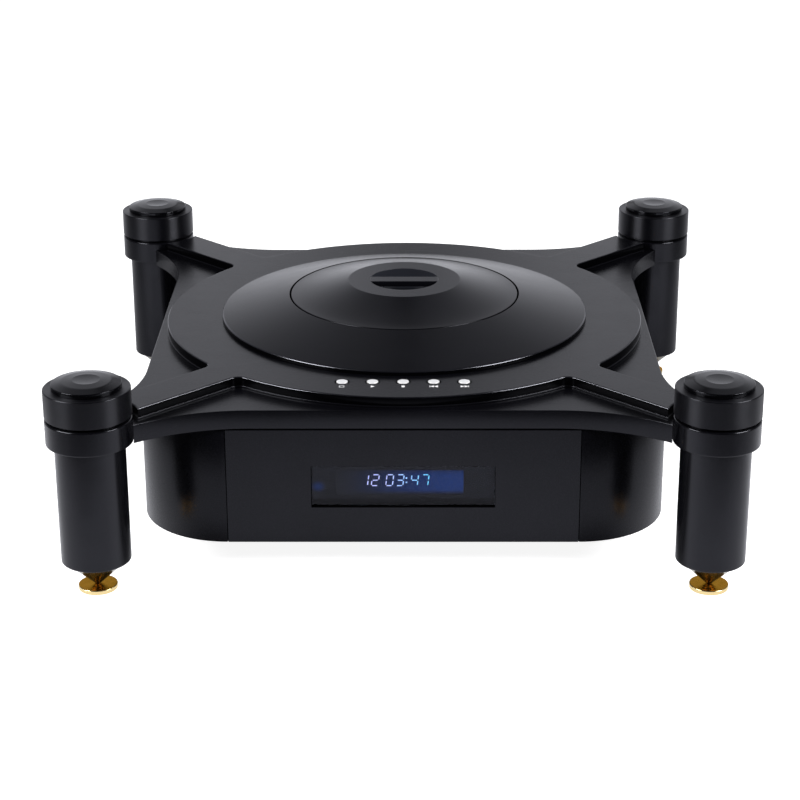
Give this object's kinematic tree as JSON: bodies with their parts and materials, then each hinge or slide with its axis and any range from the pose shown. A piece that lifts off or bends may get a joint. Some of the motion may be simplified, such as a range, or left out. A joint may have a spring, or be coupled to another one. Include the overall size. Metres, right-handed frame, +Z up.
{
  "type": "cd player",
  "caption": "Top-loading disc player: a drum-shaped body under two stacked decks, carried by turned corner pillars on spiked feet, with a lift-off lid and deck-top buttons.",
  "frame": {"origin": "on the floor, under the middle of the lid and midway between the four pillars", "axes": "+X to the player's right seen from the front, +Y to the rear, +Z up"},
  "size_m": [0.456, 0.456, 0.1466],
  "materials": {
    "pillar_metal": "satin black anodised",
    "polished_black": "polished black anodised",
    "spike_brass": "polished, gold tone",
    "deck_metal": "satin black anodised",
    "lid_metal": "satin black anodised, turned",
    "body_metal": "satin black anodised",
    "button_silver": "bright silver",
    "drive_steel": "plain",
    "drive_plastic": "matt black",
    "circuit_board": "green solder mask",
    "window_glass": "smoked",
    "display_glass": "blue fluorescent display, lit",
    "transformer_wrap": "wound tape",
    "socket_plastic": "matt black"
  },
  "bodies": {
    "chassis": {"leg_front_left": "pillar_metal", "leg_front_right": "pillar_metal", "leg_rear_left": "pillar_metal", "leg_rear_right": "pillar_metal", "collar_front_left": "pillar_metal", "collar_front_right": "pillar_metal", "collar_rear_left": "pillar_metal", "collar_rear_right": "pillar_metal", "cap_front_left": "pillar_metal", "cap_front_right": "pillar_metal", "cap_rear_left": "pillar_metal", "cap_rear_right": "pillar_metal", "cap_disc_front_left": "polished_black", "cap_disc_front_right": "polished_black", "cap_disc_rear_left": "polished_black", "cap_disc_rear_right": "polished_black", "spike_front_left": "spike_brass", "spike_front_right": "spike_brass", "spike_rear_left": "spike_brass", "spike_rear_right": "spike_brass", "spike_shoe_front_left": "spike_brass", "spike_shoe_front_right": "spike_brass", "spike_shoe_rear_left": "spike_brass", "spike_shoe_rear_right": "spike_brass", "lower_deck": "deck_metal", "upper_deck": "deck_metal", "lid_ring": "lid_metal", "button_board": "circuit_board", "disc_well": "drive_plastic", "spindle_motor": "drive_steel", "drive_base": "drive_steel", "guide_rod_front": "drive_steel", "guide_rod_rear": "drive_steel", "sled_motor": "drive_steel", "side_shell_left": "body_metal", "side_shell_right": "body_metal", "front_panel": "body_metal", "rear_panel": "body_metal", "bottom_plate": "body_metal", "display_window": "window_glass", "display_module": "display_glass", "main_board": "circuit_board", "transformer": "transformer_wrap", "mains_inlet": "socket_plastic", "switch_housing": "socket_plastic", "output_jacks": "socket_plastic"},
    "lid": {"lid": "lid_metal", "clamp_stem": "drive_steel"},
    "clamp": {"clamp_puck": "drive_plastic"},
    "spindle": {"turntable": "drive_plastic"},
    "pickup": {"pickup_carriage": "drive_plastic"},
    "screw": {"lead_screw": "drive_steel"},
    "key_open": {"button_open": "button_silver"},
    "key_play": {"button_play": "button_silver"},
    "key_stop": {"button_stop": "button_silver"},
    "key_previous": {"button_previous": "button_silver"},
    "key_next": {"button_next": "button_silver"},
    "rocker": {"power_rocker": "socket_plastic"}
  },
  "joints": [
    {"name": "lid_lift", "type": "slide", "parent": "chassis", "child": "lid", "axis": [0, 0, 1], "range_m": [0, 0.1]},
    {"name": "spindle_spin", "type": "hinge", "parent": "chassis", "child": "spindle", "pos_m": [0, 0, 0.118], "axis": [0, 0, 1], "continuous": true},
    {"name": "clamp_spin", "type": "hinge", "parent": "lid", "child": "clamp", "pos_m": [0, 0, 0.125], "axis": [0, 0, 1], "continuous": true},
    {"name": "pickup_slide", "type": "slide", "parent": "chassis", "child": "pickup", "axis": [1, 0, 0], "range_m": [0, 0.035]},
    {"name": "screw_spin", "type": "hinge", "parent": "chassis", "child": "screw", "pos_m": [0.02, 0, 0.1023], "axis": [1, 0, 0], "range_deg": [0, 2530]},
    {"name": "press_open", "type": "slide", "parent": "chassis", "child": "key_open", "axis": [0, 0, -1], "range_m": [0, 0.001], "stiffness_N_per_m": 300, "springref_m": -0.001},
    {"name": "press_play", "type": "slide", "parent": "chassis", "child": "key_play", "axis": [0, 0, -1], "range_m": [0, 0.001], "stiffness_N_per_m": 300, "springref_m": -0.001},
    {"name": "press_stop", "type": "slide", "parent": "chassis", "child": "key_stop", "axis": [0, 0, -1], "range_m": [0, 0.001], "stiffness_N_per_m": 300, "springref_m": -0.001},
    {"name": "press_previous", "type": "slide", "parent": "chassis", "child": "key_previous", "axis": [0, 0, -1], "range_m": [0, 0.001], "stiffness_N_per_m": 300, "springref_m": -0.001},
    {"name": "press_next", "type": "slide", "parent": "chassis", "child": "key_next", "axis": [0, 0, -1], "range_m": [0, 0.001], "stiffness_N_per_m": 300, "springref_m": -0.001},
    {"name": "power_rock", "type": "hinge", "parent": "chassis", "child": "rocker", "pos_m": [-0.045, 0.1717, 0.0625], "axis": [-1, 0, 0], "range_deg": [0, 20]}
  ],
  "couplings": [
    {"joint": "clamp_spin", "follows": "spindle_spin", "ratio": 1},
    {"joint": "screw_spin", "follows": "pickup_slide", "rad_per_m": 1256.6}
  ]
}
